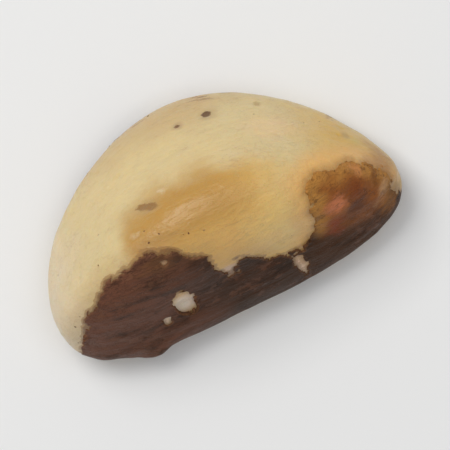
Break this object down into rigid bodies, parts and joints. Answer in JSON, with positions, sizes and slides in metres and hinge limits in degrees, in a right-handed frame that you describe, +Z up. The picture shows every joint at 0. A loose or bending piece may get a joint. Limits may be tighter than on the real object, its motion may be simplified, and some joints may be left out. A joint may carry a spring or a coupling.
{
  "type": "shelled brazil nut",
  "caption": "Pale three-sided nut kernel with a blunt end and a pointed tip, carrying torn brown skin along its straight edge.",
  "frame": {"origin": "on the surface that the nut rests on, under the middle of its box", "axes": "+Z up; +X along the length, towards the pointed tip; +Y towards the bulging outer side, away from the straight edge that carries the skin"},
  "size_m": [0.0306, 0.0181, 0.014],
  "materials": {
    "flesh": "satin",
    "brown_skin": "matte"
  },
  "bodies": {
    "root": {"kernel": "flesh", "skin_band": "brown_skin", "skin_scrap": "brown_skin"}
  },
  "joints": []
}
